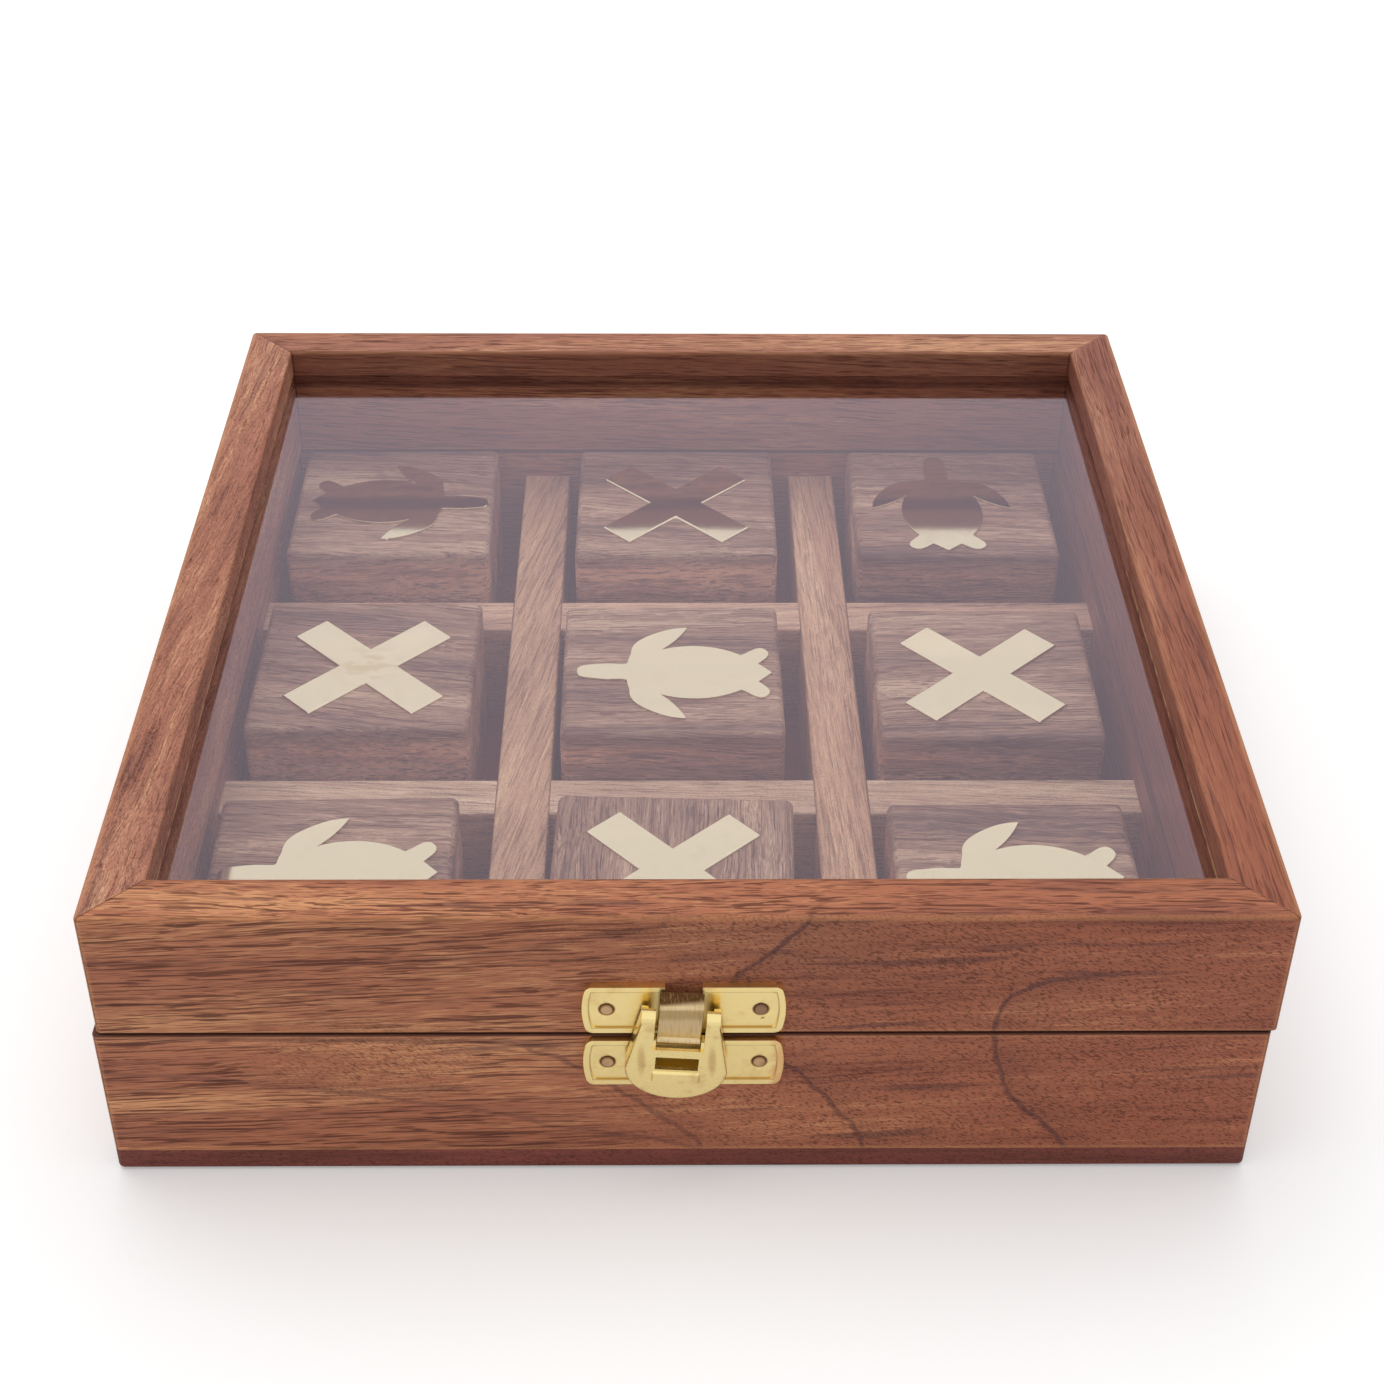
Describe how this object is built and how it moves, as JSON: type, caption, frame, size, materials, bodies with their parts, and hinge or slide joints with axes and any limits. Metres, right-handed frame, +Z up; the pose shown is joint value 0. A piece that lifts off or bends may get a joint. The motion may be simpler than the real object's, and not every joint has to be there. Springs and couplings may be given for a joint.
{
  "type": "tic-tac-toe box",
  "caption": "Square hinged wooden box with a glazed lid and front clasp, holding loose blocks with brass figures in a divided tray for tic-tac-toe.",
  "frame": {"origin": "middle of the underside of the bottom board", "axes": "+Z up, +Y towards the hinges at the back, +X to the right seen from the clasp side"},
  "size_m": [0.179, 0.1888, 0.053],
  "materials": {
    "case_wood": "waxed satin hardwood",
    "divider_wood": "waxed satin hardwood",
    "block_wood": "waxed satin hardwood",
    "board_wood": "dark stained satin",
    "figure_brass": "polished pale brass",
    "clasp_brass": "brass plated stamping",
    "strap_brass": "brushed brass strip",
    "nail_brass": "polished",
    "hinge_brass": "satin",
    "screw_brass": "satin",
    "glass": "clear float glass"
  },
  "bodies": {
    "base": {"base_back_wall": "case_wood", "base_front_wall": "case_wood", "base_left_wall": "case_wood", "base_right_wall": "case_wood", "bottom_board": "board_wood", "clasp_base_nails": "nail_brass", "clasp_base_plate": "clasp_brass", "clasp_pivot_pins": "nail_brass", "cross_divider_back": "divider_wood", "cross_divider_front": "divider_wood", "hinge_base_screws": "screw_brass", "hinge_left_base_leaf": "hinge_brass", "hinge_left_pin": "hinge_brass", "hinge_right_base_leaf": "hinge_brass", "hinge_right_pin": "hinge_brass", "long_divider_left": "divider_wood", "long_divider_right": "divider_wood"},
    "lid": {"clasp_lid_nails": "nail_brass", "clasp_lid_plate": "clasp_brass", "hinge_left_lid_leaf": "hinge_brass", "hinge_lid_screws": "screw_brass", "hinge_right_lid_leaf": "hinge_brass", "lid_back_rail": "case_wood", "lid_front_rail": "case_wood", "lid_glass": "glass", "lid_left_rail": "case_wood", "lid_right_rail": "case_wood"},
    "clasp_flap": {"clasp_flap": "clasp_brass", "clasp_link_pin": "nail_brass"},
    "clasp_link": {"clasp_link": "strap_brass"},
    "block_front_left": {"block_front_left": "block_wood", "inlay_turtle_front_left": "figure_brass"},
    "block_front_middle": {"block_front_middle": "block_wood", "inlay_cross_front_middle": "figure_brass"},
    "block_front_right": {"block_front_right": "block_wood", "inlay_turtle_front_right": "figure_brass"},
    "block_middle_left": {"block_middle_left": "block_wood", "inlay_cross_middle_left": "figure_brass"},
    "block_middle_middle": {"block_middle_middle": "block_wood", "inlay_turtle_middle_middle": "figure_brass"},
    "block_middle_right": {"block_middle_right": "block_wood", "inlay_cross_middle_right": "figure_brass"},
    "block_back_left": {"block_back_left": "block_wood", "inlay_turtle_back_left": "figure_brass"},
    "block_back_middle": {"block_back_middle": "block_wood", "inlay_cross_back_middle": "figure_brass"},
    "block_back_right": {"block_back_right": "block_wood", "inlay_turtle_back_right": "figure_brass"}
  },
  "joints": [
    {"name": "lid_hinge", "type": "hinge", "parent": "base", "child": "lid", "pos_m": [0, 0.0922, 0.02965], "axis": [-1, 0, 0], "range_deg": [0, 180]},
    {"name": "clasp_flap", "type": "hinge", "parent": "base", "child": "clasp_flap", "pos_m": [-0.00045, -0.0932, 0.0359], "axis": [-0.9976, 0, 0.0698], "range_deg": [0, 110]},
    {"name": "clasp_link", "type": "hinge", "parent": "clasp_flap", "child": "clasp_link", "pos_m": [-0.0008, -0.0928, 0.03091], "axis": [-0.9976, 0, 0.0698], "range_deg": [-88, 0]},
    {"name": "lift_block_front_left", "type": "slide", "parent": "base", "child": "block_front_left", "axis": [0, 0, 1], "range_m": [0, 0.012]},
    {"name": "lift_block_front_middle", "type": "slide", "parent": "base", "child": "block_front_middle", "axis": [0, 0, 1], "range_m": [0, 0.012]},
    {"name": "lift_block_front_right", "type": "slide", "parent": "base", "child": "block_front_right", "axis": [0, 0, 1], "range_m": [0, 0.012]},
    {"name": "lift_block_middle_left", "type": "slide", "parent": "base", "child": "block_middle_left", "axis": [0, 0, 1], "range_m": [0, 0.012]},
    {"name": "lift_block_middle_middle", "type": "slide", "parent": "base", "child": "block_middle_middle", "axis": [0, 0, 1], "range_m": [0, 0.012]},
    {"name": "lift_block_middle_right", "type": "slide", "parent": "base", "child": "block_middle_right", "axis": [0, 0, 1], "range_m": [0, 0.012]},
    {"name": "lift_block_back_left", "type": "slide", "parent": "base", "child": "block_back_left", "axis": [0, 0, 1], "range_m": [0, 0.012]},
    {"name": "lift_block_back_middle", "type": "slide", "parent": "base", "child": "block_back_middle", "axis": [0, 0, 1], "range_m": [0, 0.012]},
    {"name": "lift_block_back_right", "type": "slide", "parent": "base", "child": "block_back_right", "axis": [0, 0, 1], "range_m": [0, 0.012]}
  ],
  "couplings": [
    {"joint": "clasp_link", "follows": "clasp_flap", "ratio": -0.8}
  ]
}
